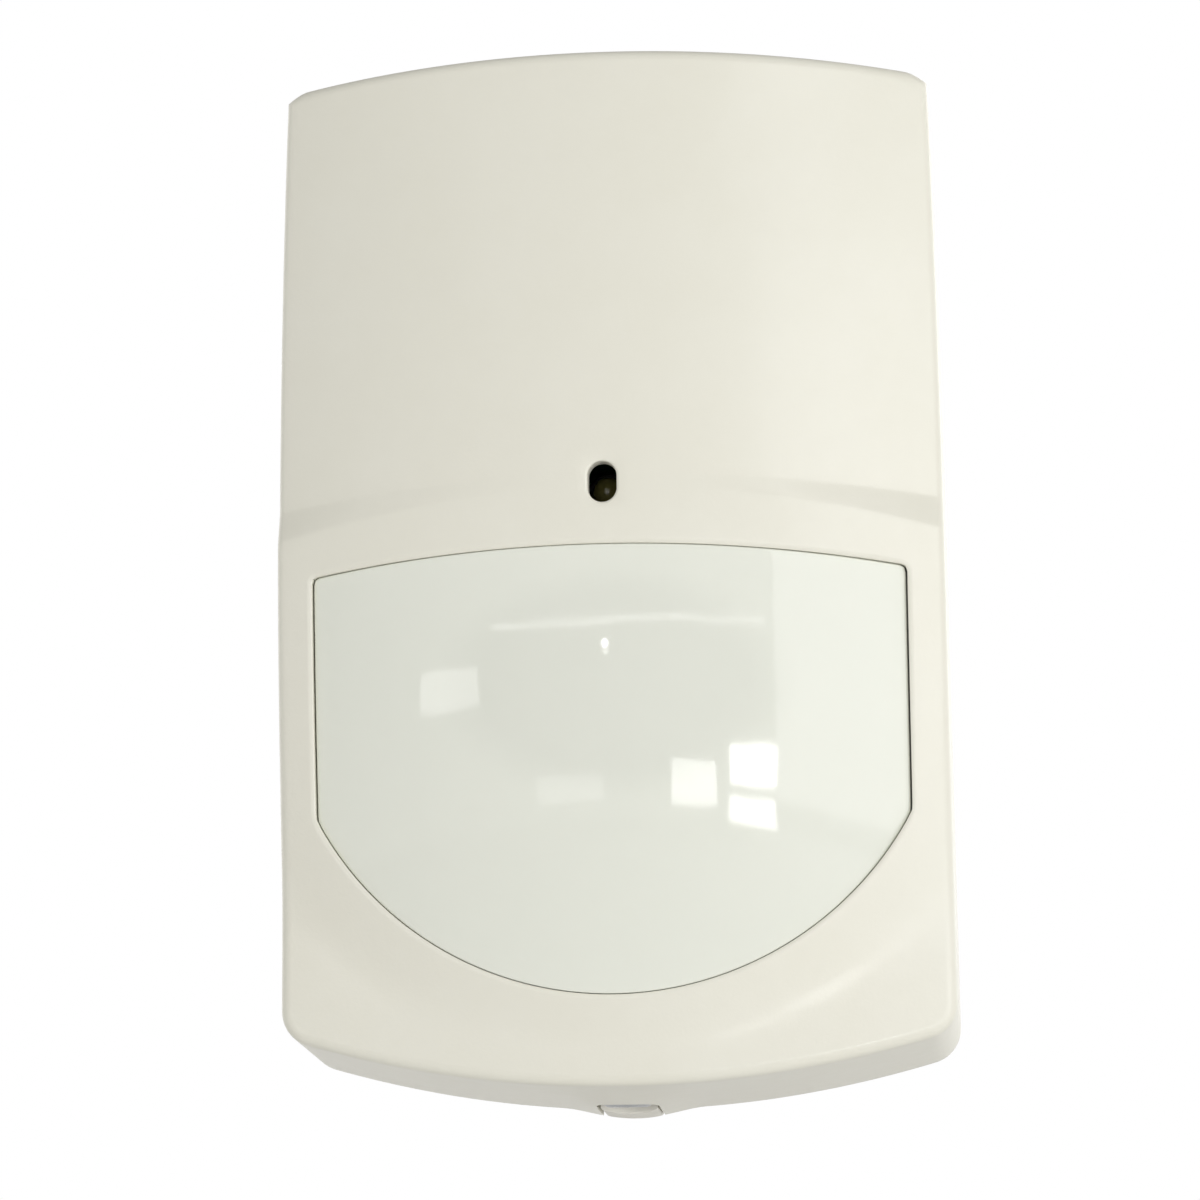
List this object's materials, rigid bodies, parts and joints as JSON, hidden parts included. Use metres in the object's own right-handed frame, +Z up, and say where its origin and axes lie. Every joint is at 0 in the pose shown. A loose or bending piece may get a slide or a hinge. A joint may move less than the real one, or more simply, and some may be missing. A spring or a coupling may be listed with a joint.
{
  "type": "motion sensor",
  "caption": "Wall-mounted passive infrared motion sensor with a curved off-white housing, a wide milky lens under a small indicator slot, and a hinged front cover over a circuit board.",
  "frame": {"origin": "centre of the flat back that lies on the wall", "axes": "+Z up as mounted, +Y into the wall, +X to the right as seen from the room; the front faces -Y"},
  "size_m": [0.0676, 0.044, 0.1061],
  "materials": {
    "white_plastic": "fine satin moulded plastic",
    "base_plastic": "satin moulded plastic",
    "lens_plastic": "glossy milky polyethylene",
    "frame_plastic": "plain moulded plastic",
    "zinc_steel": "zinc-plated steel",
    "nickel_steel": "nickel-plated steel",
    "board_green": "glass-fibre laminate with green solder mask",
    "terminal_green": "green moulded plastic",
    "black_plastic": "black moulded plastic",
    "filter_glass": "dark polished infrared filter",
    "smoked_epoxy": "smoked epoxy, unlit",
    "relay_case": "light grey moulded plastic",
    "capacitor_sleeve": "shrink sleeve on an aluminium can",
    "trimmer_blue": "blue moulded plastic"
  },
  "bodies": {
    "rear": {"rear_cover": "base_plastic"},
    "board": {"circuit_board": "board_green", "terminal_block": "terminal_green", "pyro_collar": "white_plastic", "pyro_can": "nickel_steel", "pyro_window": "filter_glass", "led_spacer": "frame_plastic", "status_led": "smoked_epoxy", "alarm_relay": "relay_case", "tamper_switch": "black_plastic", "capacitor_1": "capacitor_sleeve", "capacitor_2": "capacitor_sleeve", "controller_chip": "black_plastic", "amplifier_chip": "black_plastic", "voltage_regulator": "black_plastic", "clock_crystal": "nickel_steel", "trimmer_body": "trimmer_blue", "jumper_header": "black_plastic", "jumper_cap_1": "trimmer_blue", "jumper_cap_2": "trimmer_blue"},
    "cover": {"front_cover": "white_plastic", "lens": "lens_plastic", "lens_retainer": "frame_plastic"},
    "cover_screw": {"cover_screw": "zinc_steel"},
    "board_screw": {"board_screw": "zinc_steel"},
    "tamper_plunger": {"tamper_plunger": "frame_plastic"},
    "trimmer_rotor": {"trimmer_rotor": "white_plastic"},
    "terminal_screw_1": {"terminal_screw_1": "zinc_steel"},
    "terminal_screw_2": {"terminal_screw_2": "zinc_steel"},
    "terminal_screw_3": {"terminal_screw_3": "zinc_steel"},
    "terminal_screw_4": {"terminal_screw_4": "zinc_steel"},
    "terminal_screw_5": {"terminal_screw_5": "zinc_steel"},
    "terminal_screw_6": {"terminal_screw_6": "zinc_steel"}
  },
  "joints": [
    {"name": "cover_hinge", "type": "hinge", "parent": "rear", "child": "cover", "pos_m": [0, -0.012, 0.052], "axis": [-1, 0, 0], "range_deg": [0, 70]},
    {"name": "board_height", "type": "slide", "parent": "rear", "child": "board", "axis": [0, 0, 1], "range_m": [-0.003, 0.003]},
    {"name": "cover_screw_travel", "type": "slide", "parent": "rear", "child": "cover_screw", "axis": [0, 0, -1], "range_m": [0, 0.006]},
    {"name": "board_screw_travel", "type": "slide", "parent": "rear", "child": "board_screw", "axis": [0, -1, 0], "range_m": [0, 0.003]},
    {"name": "plunger_travel", "type": "slide", "parent": "board", "child": "tamper_plunger", "axis": [0, -1, 0], "range_m": [0, 0.0012]},
    {"name": "trimmer_turn", "type": "hinge", "parent": "board", "child": "trimmer_rotor", "pos_m": [0.017, -0.0135, 0.024], "axis": [0, -1, 0], "range_deg": [-135, 135]},
    {"name": "terminal_screw_1_travel", "type": "slide", "parent": "board", "child": "terminal_screw_1", "axis": [0, -1, 0], "range_m": [0, 0.002]},
    {"name": "terminal_screw_2_travel", "type": "slide", "parent": "board", "child": "terminal_screw_2", "axis": [0, -1, 0], "range_m": [0, 0.002]},
    {"name": "terminal_screw_3_travel", "type": "slide", "parent": "board", "child": "terminal_screw_3", "axis": [0, -1, 0], "range_m": [0, 0.002]},
    {"name": "terminal_screw_4_travel", "type": "slide", "parent": "board", "child": "terminal_screw_4", "axis": [0, -1, 0], "range_m": [0, 0.002]},
    {"name": "terminal_screw_5_travel", "type": "slide", "parent": "board", "child": "terminal_screw_5", "axis": [0, -1, 0], "range_m": [0, 0.002]},
    {"name": "terminal_screw_6_travel", "type": "slide", "parent": "board", "child": "terminal_screw_6", "axis": [0, -1, 0], "range_m": [0, 0.002]}
  ],
  "couplings": [
    {"joint": "plunger_travel", "follows": "cover_hinge", "m_per_rad": 0.00098}
  ]
}
